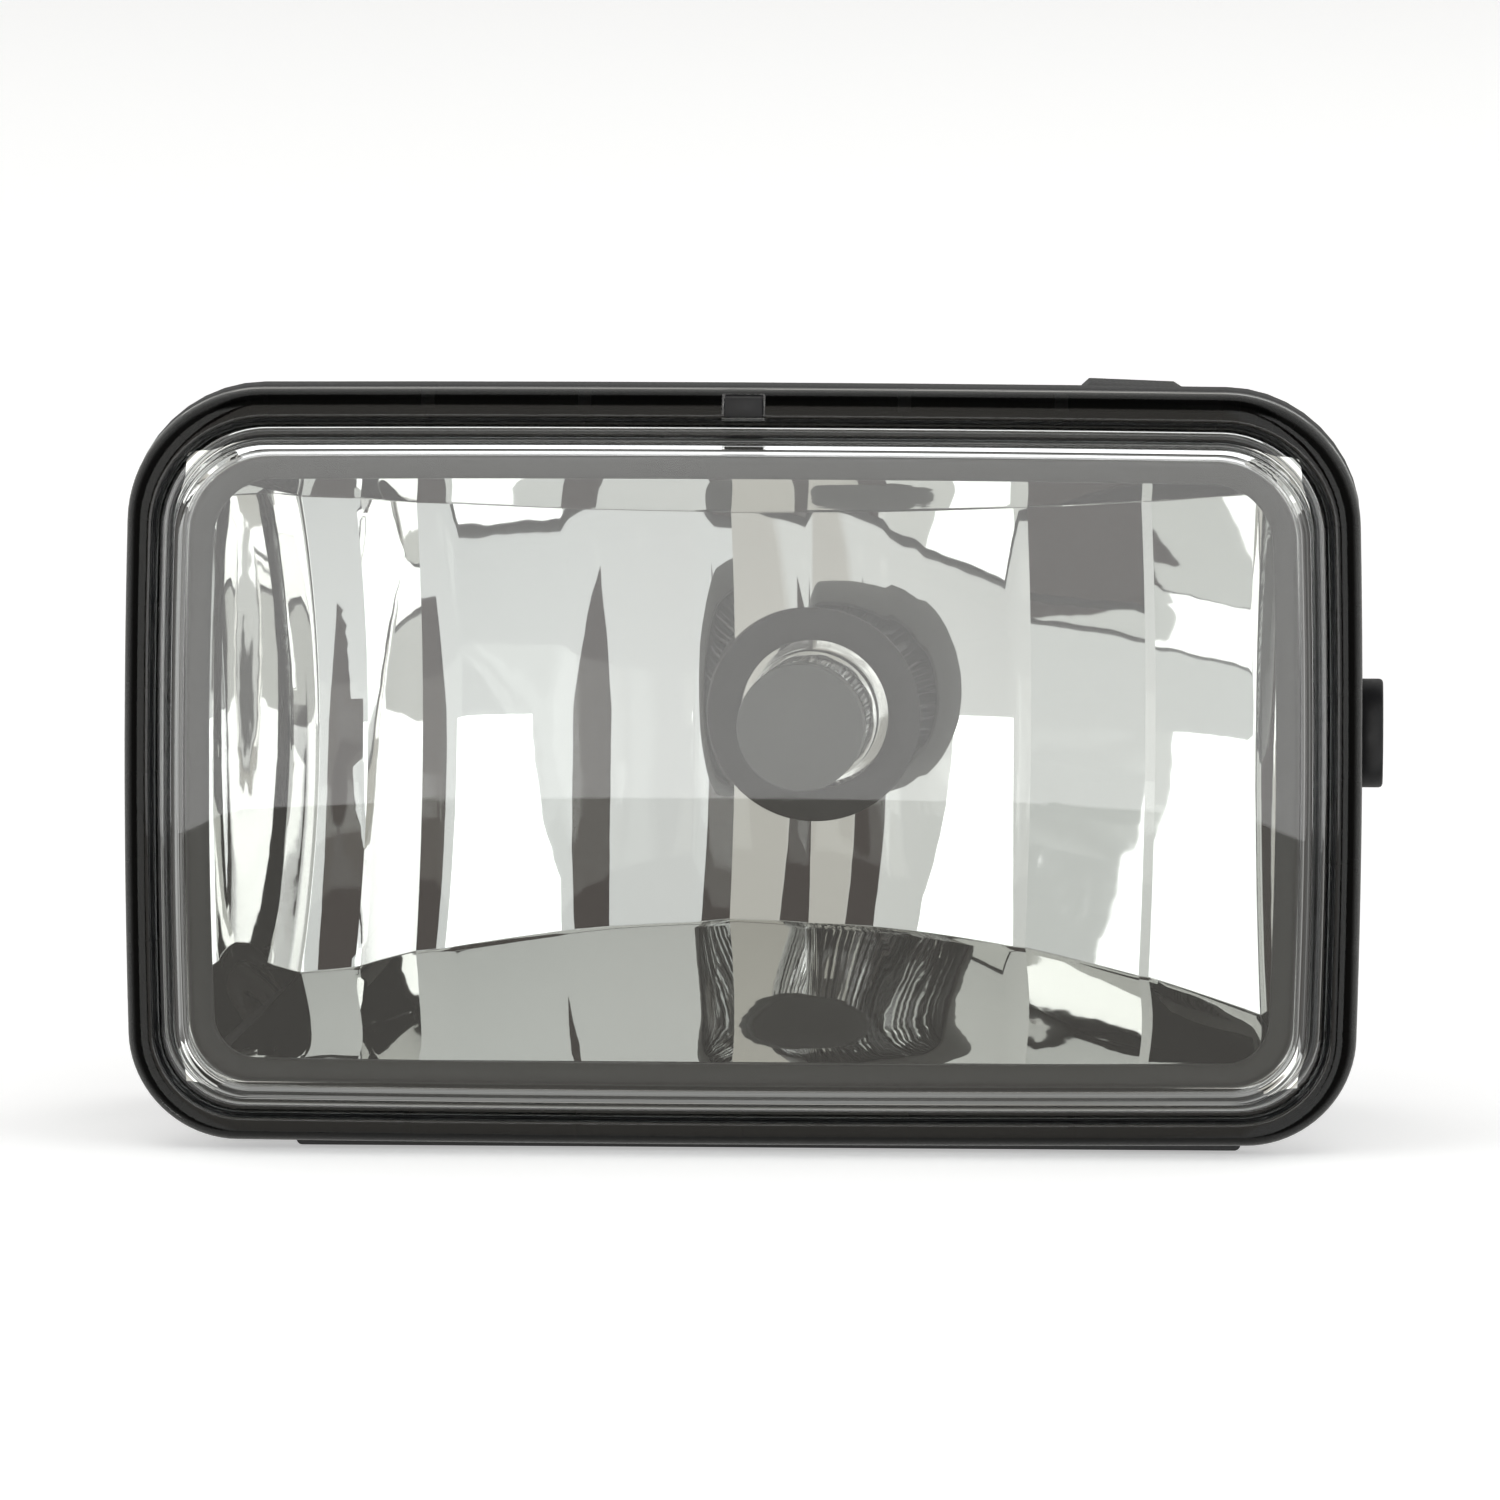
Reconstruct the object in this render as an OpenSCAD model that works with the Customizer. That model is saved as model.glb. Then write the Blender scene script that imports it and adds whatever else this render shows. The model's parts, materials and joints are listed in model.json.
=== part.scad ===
// Rectangular halogen fog light that tilts in a moulded yoke bracket.
// +Y points to the back of the lamp, +X to the viewer's right, +Z up.
// The origin is the centre of the four bracket holes, on the bracket's rear face.

/* [Lamp face] */
// Width of the lamp over its rim
lamp_w = 166; // [150:1:180]
// Height of the lamp over its rim
lamp_h = 102; // [96:1:112]
// Corner radius of the rim at its top
rim_r_top = 17.5; // [15:0.5:20]
// Corner radius of the rim at its bottom
rim_r_bottom = 14.2; // [13:0.1:18]
// How far the lens face stands in front of the rim's parting plane
lens_rise = 11; // [10:0.5:13]
// How far each long side of the outline bows outwards at its middle
crown_x = 1.0; // [0:0.1:1.5]
// How far the top and bottom of the outline bow outwards at their middle
crown_z = 0.4; // [0:0.1:1]

/* [Optics] */
// Angle between the lens and the optical axis, seen from above
optic_yaw = 6; // [5:0.5:7]
// Depth of the reflector from its window to the bulb opening
reflector_depth = 64; // [62:0.5:65]
// Four times the focal length of the reflector
four_f = 152; // [146:1:156]
// Draft of the reflector's walls
wall_draft = 10.7; // [10:0.1:11.5]
// Pitch of the reflector's vertical facets
facet_pitch = 16.5; // [15:0.5:18]

/* [Bulb] */
// Diameter of the bulb's glass
glass_d = 16.6; // [14:0.2:17]
// How far the bulb's cap stands in front of the socket ring
cap_reach = 17; // [14:0.5:19]
// Diameter of the base that fits the socket
pilot_d = 20; // [19.8:0.1:20.2]

/* [Bracket] */
// Spacing of the bracket holes across the lamp
hole_span_x = 136; // [132:1:138]
// Spacing of the bracket holes up the lamp
hole_span_z = 70; // [68:1:72]
// Clear diameter of the steel sleeves in the bracket holes
hole_d = 6.6; // [6.4:0.1:7]
// Distance from the rim's parting plane to the bracket's rear face
mount_depth = 56; // [56:0.5:58]
// Height of the tilt axis above the lamp's centre
pivot_z = 3; // [0:0.5:5]

/* [Aim adjuster] */
// Sideways place of the aim screw
screw_x = 30; // [20:1:36]
// Height of the aim screw below the lamp's centre
screw_drop = 44.2; // [44:0.1:44.4]
// Diameter of the aim screw
screw_d = 5; // [4:0.5:5]

/* [Hidden] */
$fn = 64;
eps = 0.01;

rim_y = -mount_depth;           // the parting plane between lens and housing
half_w = lamp_w / 2;
half_h = lamp_h / 2;
corner_steps = 10;              // facets round each corner of an outline
side_steps = 6;                 // facets along each bowed side of an outline

// Insets from the rim, all measured square to the outline.
leg_out = 2.4;                  // outer face of the lens's glue leg
leg_in = 4.6;                   // inner face of the lens's glue leg
channel_out = 1.7;              // outer wall of the glue channel
channel_in = 5.3;               // inner wall of the glue channel
channel_floor = 5.2;            // depth of the glue channel
channel_lip = 6.9;              // back of the channel's inner wall
window_inset = 11.6;            // edge of the reflector's window
window_y = -4;                  // plane of the window, from the parting plane
window_r = 5;                   // corner radius of the window

reflector_wall = 1.6;
housing_wall = 2.4;

// Places along the optical axis, from the window.
ring_y = reflector_depth;       // front face of the socket trim ring
ring_t = 1.5;
pocket_y = ring_y + ring_t;     // where the bulb's lugs turn
pocket_len = 2.8;
flange_y = pocket_y + pocket_len;
flange_len = 2;
seal_y = flange_y + flange_len; // start of the bore that the O-ring seals in
socket_end = seal_y + 7.7;
grip_y = socket_end + 0.4;      // front face of the bulb's grip flange
ring_od = 29.8;
ring_id = 20.5;
socket_od = 32;
seal_bore = 26;
lug_count = 3;
lug_reach = 12.3;
unlock_turn = 40;               // turn that brings the lugs to their slots

pivot_y = 16;                   // tilt axis, from the parting plane
pivot_pin_d = 6;
pivot_gap = 0.05;               // running clearance of the pins, on the radius
arm_x = 79.6;                   // inner face of the bracket's arms
arm_t = 3;
frame_t = 5;                    // thickness of the bracket's rear frame
frame_top = 44;
frame_bottom = -51;
frame_half_w = 78;
frame_r = 14;
open_half_w = 63;
open_half_h = 38;
open_r = 12;
ear_d = 18;
sleeve_od = 9;
sleeve_len = frame_t + 1;

ball_d = 9.5;
ball_gap = 0.15;
nut_len = 6.8;
block_half_w = 7;               // half width of the block that holds the ball
block_half_len = 6.2;
screw_gap = 0.05;
clip_y = mount_depth - frame_t - 4;     // front face of the clip on the aim screw
head_recess = 4.6;              // depth of the counterbore round the aim screw's head
neck_y = ring_y + 3.2;          // start of the collar that joins the neck to the case
vent_x = -24;
vent_z = 17;
vent_top = 73;                  // end of the breather's tube
fix_r = 24;                     // circle of the screws that hold the reflector
fix_y = 70.5;                   // seat of those screws, along the optical axis
optic_x = 1.8;                  // where the optical axis meets the window
// Half width, half height, radius, sideways centre and depth of the case behind the rim.
case_levels = [
    [77.5, 45.5, 12, 0, 8.6], [69.2, 37, 12, 4.8, 36], [50, 33, 16, 8, 57.5], [22, 22, 22, 9.2, 66]
];
case_lean = [0, 1, 1, 1];       // how far each of them leans with the optical axis

// ---------- outlines ----------

// One quarter turn of an arc about c, from angle a0.
function arc(c, r, a0, steps) =
    [for (i = [0 : steps]) c + r * [cos(a0 + 90 * i / steps), sin(a0 + 90 * i / steps)]];

// Points strictly between p and q.
function between(p, q, steps) = [for (i = [1 : steps - 1]) p + (q - p) * i / steps];

// A rounded rectangle of half sizes a and b, with radius rt at the top and rb at the bottom.
function rounded(a, b, rt, rb) =
    let (
        tr = arc([a - rt, b - rt], rt, 0, corner_steps),
        tl = arc([-a + rt, b - rt], rt, 90, corner_steps),
        bl = arc([-a + rb, -b + rb], rb, 180, corner_steps),
        br = arc([a - rb, -b + rb], rb, 270, corner_steps),
        n = corner_steps
    )
    concat(
        tr, between(tr[n], tl[0], side_steps), tl, between(tl[n], bl[0], side_steps),
        bl, between(bl[n], br[0], side_steps), br, between(br[n], tr[0], side_steps)
    );

// Bows the sides of an outline outwards by cx and cz at their middles.
function bowed(points, a, b, cx, cz) =
    [for (p = points) [
        p[0] * (1 + cx / a * (1 - pow(p[1] / b, 2))),
        p[1] * (1 + cz / b * (1 - pow(p[0] / a, 2)))
    ]];

// The lamp's outline, moved inwards. The radii fall to that of the window.
function outline(inset) =
    let (
        a = half_w - crown_x - inset,
        b = half_h - crown_z - inset,
        rt = max(window_r, rim_r_top - 0.85 * inset),
        rb = max(window_r, rim_r_bottom - 0.75 * inset)
    )
    bowed(rounded(a, b, min(rt, b), min(rb, b)), a, b, crown_x, crown_z);

// The same outline as a ring of points in space, y behind the parting plane.
function rim_loop(inset, y) = [for (p = outline(inset)) [p[0], rim_y + y, p[1]]];

// ---------- lofts ----------

function joined(loops) = [for (l = loops) each l];

// Quads between loop i and loop j, each of n points.
function band(i, j, n) =
    [for (k = [0 : n - 1]) [i * n + k, i * n + (k + 1) % n, j * n + (k + 1) % n, j * n + k]];

// A solid ring through loops that close on themselves.
module ring_loft(loops) {
    m = len(loops);
    n = len(loops[0]);
    polyhedron(joined(loops), [for (i = [0 : m - 1]) each band(i, (i + 1) % m, n)], convexity = 10);
}

// A solid skin through loops, closed by a flat cap on the first and the last.
module capped_loft(loops) {
    m = len(loops);
    n = len(loops[0]);
    first = [for (k = [0 : n - 1]) n - 1 - k];
    last = [for (k = [0 : n - 1]) (m - 1) * n + k];
    sides = [for (i = [0 : m - 2]) each band(i, i + 1, n)];
    polyhedron(joined(loops), concat(sides, [first, last]), convexity = 10);
}

// ---------- frames ----------

// Children are drawn in the optical frame: z runs back along the optical axis from the window.
module on_optic() {
    translate([optic_x, rim_y + window_y, 0]) rotate([0, 0, -optic_yaw]) rotate([-90, 0, 0]) children();
}

// Children are drawn along +Y from a place given from the lamp's parting plane.
module along_y(x, y, z) {
    translate([x, rim_y + y, z]) rotate([-90, 0, 0]) children();
}

module tube(d_out, d_in, len) {
    difference() {
        cylinder(d = d_out, h = len);
        translate([0, 0, -eps]) cylinder(d = d_in, h = len + 2 * eps);
    }
}

// A flat rounded rectangle between two heights and two half widths.
module plate(x0, x1, z0, z1, r, y0, y1) {
    translate([0, rim_y + y1, 0]) rotate([90, 0, 0]) linear_extrude(y1 - y0) {
        translate([x0 + r, z0]) square([x1 - x0 - 2 * r, z1 - z0]);
        translate([x0, z0 + r]) square([x1 - x0, z1 - z0 - 2 * r]);
        for (x = [x0 + r, x1 - r], z = [z0 + r, z1 - r]) translate([x, z]) circle(r);
    }
}

// ---------- lamp ----------

// Clear front cover: crowned face, stepped border and a glue leg.
module lens() {
    face = -lens_rise;
    outer = [[44, face - 0.9], [20, face - 0.5], [8.8, face - 0.1], [7.6, face + 0.2], [6.8, face + 1.0],
             [6.4, face + 2.4], [6.1, -6.2], [5.4, -5.5], [4.4, -5.6], [3.8, -6.2], [3.1, -6.5], [2.3, -6.3],
             [1.2, -5.6], [0.35, -4.2], [0, -2.6], [0, 0]];
    inner = [[leg_out, 0], [leg_out, 4], [leg_in, 4], [leg_in, -2.6], [5.2, -3.2], [7.6, -3.6],
             [8.4, face + 5.6], [8.7, face + 3.0], [9.6, face + 2.3], [20, face + 2.0], [44, face + 1.6]];
    color("lightcyan", 0.4) difference() {
        capped_loft([for (p = concat(outer, inner)) rim_loop(p[0], p[1])]);
        // Locating notch in the top ridge.
        translate([0, rim_y - 5.5, half_h - 1.8]) cube([5.8, 2.4, 3.7], center = true);
    }
}

// Sealing bead that holds the lens's leg in the housing's channel.
module lens_seal() {
    profile = [[channel_out, channel_floor], [channel_in, channel_floor], [channel_in, 1.2], [leg_in, 1.2],
               [leg_in, 4], [leg_out, 4], [leg_out, 1.2], [channel_out, 1.2]];
    color("dimgray") ring_loft([for (p = profile) rim_loop(p[0], p[1])]);
}

// Dark trim frame between the lens and the reflector.
module bezel() {
    seat = window_y - 0.05;
    profile = [[8.7, seat], [9.6, seat], [10.2, -5.0], [10.4, seat], [11.5, seat], [11.5, -6.0],
               [10.9, -6.7], [9.9, -6.6], [9.0, -5.4], [8.7, -4.8]];
    color("darkslategray") ring_loft([for (p = profile) rim_loop(p[0], p[1])]);
}

// The reflector's inside or outside walls, grown by t.
module reflector_walls(t) {
    deep = 66;
    shrink = deep * tan(wall_draft);
    hull() {
        for (end = [0, 1])
            translate([end * deep * tan(optic_yaw), rim_y + window_y - (1 - end) * eps + end * deep, 0])
                rotate([90, 0, 0]) linear_extrude(eps) polygon(rounded(
                    half_w - window_inset + t - end * shrink, half_h - window_inset + t - end * shrink,
                    window_r + t, window_r + t));
    }
}

// The bowl of the reflector as a solid of revolution, moved back by t.
module bowl(t) {
    r_end = 86;
    steps = 12;
    on_optic() translate([0, 0, t]) rotate_extrude($fn = 96) polygon(concat(
        [[0, -30 - t]], [[r_end, -30 - t]],
        [for (i = [0 : steps]) let (r = r_end * (1 - i / steps)) [r, ring_y - r * r / four_f]]));
}

// Vertical facets: slices of the bowl, every second one set 0.5 mm forward.
module faceted_bowl() {
    count = 12;
    facet_step = 0.5;
    for (i = [-count / 2 : count / 2 - 1])
        intersection() {
            bowl(i % 2 == 0 ? 0 : -facet_step);
            on_optic() translate([(i + 0.5) * facet_pitch, 0, 0])
                cube([facet_pitch, 200, 200], center = true);
        }
}

// Metallised reflector: drafted walls round a faceted bowl, with a flange at the window.
module reflector() {
    color("silver") difference() {
        union() {
            intersection() {
                reflector_walls(reflector_wall);
                bowl(reflector_wall);
            }
            translate([0, rim_y + window_y + 1.6, 0]) rotate([90, 0, 0])
                linear_extrude(1.6) polygon(outline(8.3));
            fix_places() translate([0, 0, -10]) cylinder(d = 5.5, h = 6.4);
        }
        intersection() {
            reflector_walls(0);
            faceted_bowl();
        }
        translate([0, rim_y + window_y + 0.5, 0]) rotate([90, 0, 0]) linear_extrude(1)
            polygon(rounded(half_w - window_inset, half_h - window_inset, window_r, window_r));
        on_optic() cylinder(d = ring_od, h = 100);
        fix_places() translate([0, 0, -5.9]) cylinder(d = 2.6, h = 6);
    }
}

// Seats of the three screws round the bulb neck, on the back of the case.
module fix_places() {
    on_optic() for (i = [0 : 2]) rotate(i * 120) translate([fix_r, 0, fix_y]) children();
}

// Pan-head screws that pull the reflector's bosses to the case.
module reflector_screws() {
    color("gainsboro") fix_places() difference() {
        union() {
            translate([0, 0, -5.8]) cylinder(d = 2.6, h = 6);
            cylinder(d = 5.6, h = 2);
        }
        for (a = [0, 90]) rotate(a) translate([0, 0, 2]) cube([3.2, 0.8, 2.2], center = true);
    }
}

// Level i of the case, moved inwards by w.
function case_loop(i, w, forward) =
    let (c = case_levels[i], lean = case_lean[i] * tan(optic_yaw))
    [for (p = rounded(c[0] - w, c[1] - w, c[2] - w, c[2] - w))
        [c[3] + p[0], rim_y + c[4] - forward - lean * p[0], p[1]]];

// Black case: rim with the glue channel, tapered body, bulb neck, pivot bosses and ball socket.
module housing() {
    outside = concat([rim_loop(0, 0), rim_loop(0, 6.8)], [for (i = [0 : 3]) case_loop(i, 0, 0)]);
    inside = [for (i = [3 : -1 : 0]) case_loop(i, housing_wall, housing_wall * (i == 3 ? 1 : 0.4))];
    channel = [
        rim_loop(channel_lip, channel_floor + 1.2), rim_loop(channel_lip, -1.5), rim_loop(channel_in, -1.5),
        rim_loop(channel_in, channel_floor), rim_loop(channel_out, channel_floor), rim_loop(channel_out, 0)
    ];
    color([0.13, 0.13, 0.14]) difference() {
        union() {
            ring_loft(concat(outside, inside, channel));
            on_optic() translate([0, 0, ring_y - 1]) cylinder(d = 36, h = socket_end - ring_y + 0.6);
            on_optic() translate([0, 0, neck_y]) cylinder(d = 43, h = 3);
            for (side = [-1, 1]) translate([side * 72, rim_y + pivot_y, pivot_z]) rotate([0, 90, 0])
                cylinder(d = 14, h = 13.2, center = true);
            ball_block();
            fix_places() translate([0, 0, -9]) cylinder(d = 9, h = 9);
            along_y(vent_x, 60, vent_z) cylinder(d = 9, h = vent_top - 60);
            rim_tabs();
        }
        on_optic() translate([0, 0, 30]) cylinder(d = socket_od, h = 60);
        pivot_axis() cylinder(d = pivot_pin_d, h = 180, center = true);
        pivot_axis() cylinder(d = 20, h = 132, center = true);
        ball_hollow();
        fix_places() translate([0, 0, -10]) cylinder(d = 6.1, h = 6.5);
        fix_places() translate([0, 0, -10]) cylinder(d = 3.2, h = 20);
        along_y(vent_x, 30, vent_z) cylinder(d = 5, h = 40);
        // The space that the reflector fills stays clear of bosses.
        intersection() {
            reflector_walls(reflector_wall + 0.3);
            bowl(reflector_wall + 0.3);
        }
    }
}

// Rail under the rim and a locating tab on top of it.
module rim_tabs() {
    difference() {
        plate(-60, 67, -half_h - 0.9, -half_h + 4, 0.8, 1.2, 6.6);
        plate(-80, 80, -half_h + 0.6, half_h, 1, 0, 8);
    }
    translate([0, rim_y + 22, 0]) rotate([90, 0, 0]) linear_extrude(14)
        polygon([[45, 38], [45, half_h - 1.6], [46, half_h - 0.7], [57.4, half_h - 1.1],
                 [58.8, half_h - 2.0], [58.8, 38]]);
}

module pivot_axis() {
    translate([0, rim_y + pivot_y, pivot_z]) rotate([0, 90, 0]) children();
}

// Block under the case that holds the aim screw's ball nut.
module ball_block() {
    translate([screw_x - block_half_w, rim_y + pivot_y - block_half_len, -screw_drop - 6.4])
        cube([2 * block_half_w, 2 * block_half_len, 14]);
}

// The ball's seat, open at both ends so that the screw can pass and lean.
module ball_hollow() {
    along_y(screw_x, pivot_y, -screw_drop) {
        sphere(d = ball_d + 2 * ball_gap);
        cylinder(d = 7.6, h = 2 * block_half_len + 0.6, center = true);
    }
}

// Black ring that trims the bulb opening.
module socket_trim_ring() {
    color([0.16, 0.16, 0.17]) on_optic() translate([0, 0, ring_y - 1.6])
        tube(ring_od - 0.2, ring_id, ring_t + 1.6);
}

// Ring that the bulb locks into: lug pocket, slotted flange and sealing bore.
module bulb_socket() {
    color([0.2, 0.2, 0.2]) on_optic() difference() {
        translate([0, 0, pocket_y]) cylinder(d = socket_od, h = socket_end - pocket_y);
        translate([0, 0, pocket_y - eps]) cylinder(d = 25.4, h = pocket_len + eps);
        translate([0, 0, pocket_y]) cylinder(d = pilot_d + 2 * pivot_gap, h = 20);
        translate([0, 0, seal_y]) cylinder(d = seal_bore, h = 20);
        for (i = [0 : lug_count - 1]) rotate(i * 360 / lug_count + unlock_turn)
            translate([0, -3.2, pocket_y]) cube([12.7, 6.4, 10]);
    }
}

// Cap that shields the breather, with gaps round its mouth.
module vent_cap() {
    color([0.1, 0.1, 0.1]) along_y(vent_x, vent_top - 5, vent_z) difference() {
        union() {
            cylinder(d = 14, h = 8.4);
            for (i = [0 : 5]) rotate(i * 60) translate([0, -1, 0]) cube([7.8, 2, 6.4]);
        }
        translate([0, 0, -eps]) cylinder(d = 9, h = 6.4);
        for (i = [0 : 2]) rotate(i * 120 + 30) translate([0, -0.8, -eps]) cube([9, 1.6, 1.4]);
    }
}

module vent_membrane() {
    color("white") along_y(vent_x, vent_top, vent_z) cylinder(d = 8.6, h = 0.5);
}

module pivot_pin(side) {
    inner = 72.5;
    outer = side > 0 ? 84.4 : 82.2;
    color("gainsboro") pivot_axis() translate([0, 0, side > 0 ? inner : -outer])
        cylinder(d = pivot_pin_d, h = outer - inner);
}

module pivot_pin_left() pivot_pin(-1);
module pivot_pin_right() pivot_pin(1);

// ---------- bulb ----------

// Moulded base with three lugs, a grip flange and a downward connector shell.
module bulb_base() {
    shell_w = 20;
    shell_t = 16;
    color([0.11, 0.11, 0.12]) on_optic() difference() {
        union() {
            translate([0, 0, pocket_y + 1.5]) cylinder(d = pilot_d, h = 12);
            for (i = [0 : lug_count - 1]) rotate(i * 360 / lug_count) intersection() {
                translate([9.8, -2.7, pocket_y + 0.5]) cube([4, 5.4, 2.2]);
                cylinder(d = 2 * lug_reach, h = 100);
            }
            translate([0, 0, seal_y + 0.2]) cylinder(d = 22, h = 1);
            translate([0, 0, seal_y + 4.6]) cylinder(d = 25.6, h = 3.4);
            translate([0, 0, grip_y]) cylinder(d = 34, h = 3);
            for (a = [0, 180]) rotate(a) translate([14, -2.5, grip_y]) cube([5, 5, 3]);
            translate([0, 0, grip_y + 3 - eps]) cylinder(d = 22, h = 12);
            translate([-shell_w / 2, 0, grip_y + 3 - eps]) cube([shell_w, 30, shell_t]);
            translate([-4, 18, grip_y + 2 + shell_t]) cube([8, 7, 2.6]);
        }
        translate([0, 0, pocket_y]) cylinder(d = 13, h = 8);
        blades();
        // Connector socket, open at its lower end.
        translate([-shell_w / 2 + 1.8, 14, grip_y + 4.8]) cube([shell_w - 3.6, 20, shell_t - 3.6]);
    }
}

// Bright metal collar that grips the glass.
module bulb_collar() {
    collar_len = 10.9;
    color("silver") on_optic() difference() {
        union() {
            translate([0, 0, pocket_y + 0.1 - 6]) cylinder(d = 18.2, h = 6);
            translate([0, 0, pocket_y + 0.1]) cylinder(d = 19.6, h = 1.4);
            translate([0, 0, pocket_y + 1.5]) cylinder(d = 13, h = 6.5);
        }
        translate([0, 0, pocket_y - 6]) cylinder(d = glass_d, h = 6.4);
        for (s = [-1, 1]) translate([s * 3, 0, 0]) cylinder(d = 1.2, h = 100);
    }
}

// Hollow glass envelope, open at the back where the leads leave.
module bulb_glass() {
    front = ring_y - cap_reach + 1.0;
    back = pocket_y + 0.3;
    color("white", 0.4) on_optic() difference() {
        translate([0, 0, front]) cylinder(d = glass_d, h = back - front);
        translate([0, 0, front + 1.2]) cylinder(d = glass_d - 2.4, h = back - front - 2.4);
        for (s = [-1, 1]) translate([s * 3, 0, front + 10]) cylinder(d = 1.2, h = 40);
    }
}

// Opaque cap that hides the filament from the front.
module bulb_cap() {
    color("gray") on_optic() translate([0, 0, ring_y - cap_reach]) difference() {
        cylinder(d = glass_d + 0.8, h = 3.4);
        translate([0, 0, 1]) cylinder(d = glass_d, h = 10);
    }
}

filament_z = ring_y - cap_reach + 9;

module filament() {
    color("dimgray") on_optic() translate([0, 0, filament_z]) rotate([0, 90, 0])
        cylinder(d = 1.6, h = 4.8, center = true);
}

module filament_leads() {
    color("silver") on_optic() for (s = [-1, 1]) {
        translate([s * 3, 0, filament_z - 0.9]) cylinder(d = 1.1, h = pocket_y + 7.9 - filament_z);
        translate([s * 3, 0, filament_z]) rotate([0, -s * 90, 0]) cylinder(d = 0.9, h = 0.6);
    }
}

module blades() {
    for (s = [-1, 1]) translate([s * 4 - 1.4, 11, grip_y + 10.6]) cube([2.8, 12, 0.8]);
}

module bulb_terminals() {
    color("gold") on_optic() blades();
}

module bulb_o_ring() {
    color([0.45, 0.12, 0.08]) on_optic() translate([0, 0, seal_y + 2.9]) rotate_extrude($fn = 64)
        translate([11.4, 0]) circle(d = 2.8, $fn = 24);
}

// ---------- bracket ----------

// Yoke: a rear frame with four ears, and two arms that carry the tilt axis.
module mount_bracket() {
    front = mount_depth - frame_t;
    color([0.12, 0.12, 0.13]) difference() {
        union() {
            difference() {
                plate(-frame_half_w, frame_half_w, frame_bottom, frame_top, frame_r, front, mount_depth);
                plate(-open_half_w, open_half_w, -open_half_h, open_half_h, open_r,
                      front - 1, mount_depth + 1);
            }
            for (side = [-1, 1]) bracket_arm(side);
            ear_places() translate([0, 0, -sleeve_len]) cylinder(d = ear_d, h = sleeve_len);
            along_y(screw_x, front - 3, -screw_drop) cylinder(d = 13, h = 4);
            for (z = [frame_bottom + 2, frame_top - 4])
                translate([-50, rim_y + front - 3, z]) cube([100, 4, 2]);
        }
        ear_places() cylinder(d = sleeve_od, h = 40, center = true);
        pivot_axis() cylinder(d = 9, h = 400, center = true);
        along_y(screw_x, 0, -screw_drop) cylinder(d = screw_d + 2 * screw_gap, h = 100);
        along_y(screw_x, mount_depth - head_recess, -screw_drop) cylinder(d = 10.6, h = 10);
    }
}

// Arm from the frame to the tilt axis: its plan shape, cut to its side shape.
module bracket_arm(side) {
    straight = pivot_y + 9;      // the arm leans inwards behind this depth
    lean = 5.5;
    reach = mount_depth;
    mirror([side > 0 ? 0 : 1, 0, 0]) intersection() {
        translate([0, rim_y, -40]) linear_extrude(80) polygon([
            [arm_x, 0], [arm_x + arm_t, 0], [arm_x + arm_t, straight], [arm_x + arm_t - lean, reach],
            [arm_x - lean - 9, reach], [arm_x - lean, reach - 12], [arm_x, straight]]);
        translate([60, rim_y, 0]) rotate([90, 0, 90]) linear_extrude(30) {
            translate([pivot_y, pivot_z]) circle(d = 14.7);
            polygon([[pivot_y, pivot_z + 7.35], [straight, pivot_z + 9], [mount_depth - frame_t, 24],
                     [mount_depth, 24], [mount_depth, -24], [mount_depth - frame_t, -24],
                     [straight, pivot_z - 9], [pivot_y, pivot_z - 7.35]]);
        }
    }
}

module ear_places() {
    for (x = [-1, 1], z = [-1, 1]) along_y(x * hole_span_x / 2, mount_depth, z * hole_span_z / 2) children();
}

module mount_sleeves() {
    color("gainsboro") ear_places() translate([0, 0, -sleeve_len]) tube(sleeve_od, hole_d, sleeve_len);
}

// Flanged bush, closed at its outer end on the right-hand side.
module pivot_bush_right() {
    color([0.1, 0.1, 0.1]) pivot_axis() difference() {
        union() {
            translate([0, 0, arm_x]) cylinder(d = 9, h = arm_t);
            translate([0, 0, arm_x + arm_t]) cylinder(d = 14.7, h = 3.3);
        }
        translate([0, 0, arm_x - 1]) cylinder(d = pivot_pin_d + 2 * pivot_gap, h = 6.2);
    }
}

module pivot_bush_left() {
    color([0.1, 0.1, 0.1]) pivot_axis() translate([0, 0, -arm_x - arm_t])
        tube(9, pivot_pin_d + 2 * pivot_gap, arm_t);
}

// ---------- aim adjuster ----------

module aim_screw() {
    head_y = mount_depth - head_recess + 0.2;
    tip_y = pivot_y - 2.8;
    color("darkgray") difference() {
        union() {
            along_y(screw_x, tip_y, -screw_drop) cylinder(d = screw_d, h = head_y - tip_y + 0.1);
            along_y(screw_x, head_y, -screw_drop) cylinder(d = 9.8, h = 1.2);
            along_y(screw_x, head_y + 1.2, -screw_drop) cylinder(d = 8, h = 3, $fn = 6);
        }
        along_y(screw_x, clip_y - 0.1, -screw_drop) tube(10, screw_d - 1.2, 1);
        along_y(screw_x, head_y + 4.2, -screw_drop) for (a = [0, 90]) rotate(a)
            cube([4.6, 1, 4], center = true);
    }
}

// Push-on clip that keeps the screw in the bracket.
module screw_clip() {
    color("gainsboro") along_y(screw_x, clip_y, -screw_drop) difference() {
        cylinder(d = 10.5, h = 0.8);
        translate([0, 0, -1]) cylinder(d = screw_d - 1.2, h = 4);
        translate([-1.6, 0, -1]) cube([3.2, 10, 4]);
    }
}

module aim_nut() {
    color("ivory") along_y(screw_x, pivot_y, -screw_drop) difference() {
        intersection() {
            sphere(d = ball_d);
            cylinder(d = 20, h = nut_len, center = true);
        }
        cylinder(d = screw_d + 2 * screw_gap, h = 30, center = true);
    }
}

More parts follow.
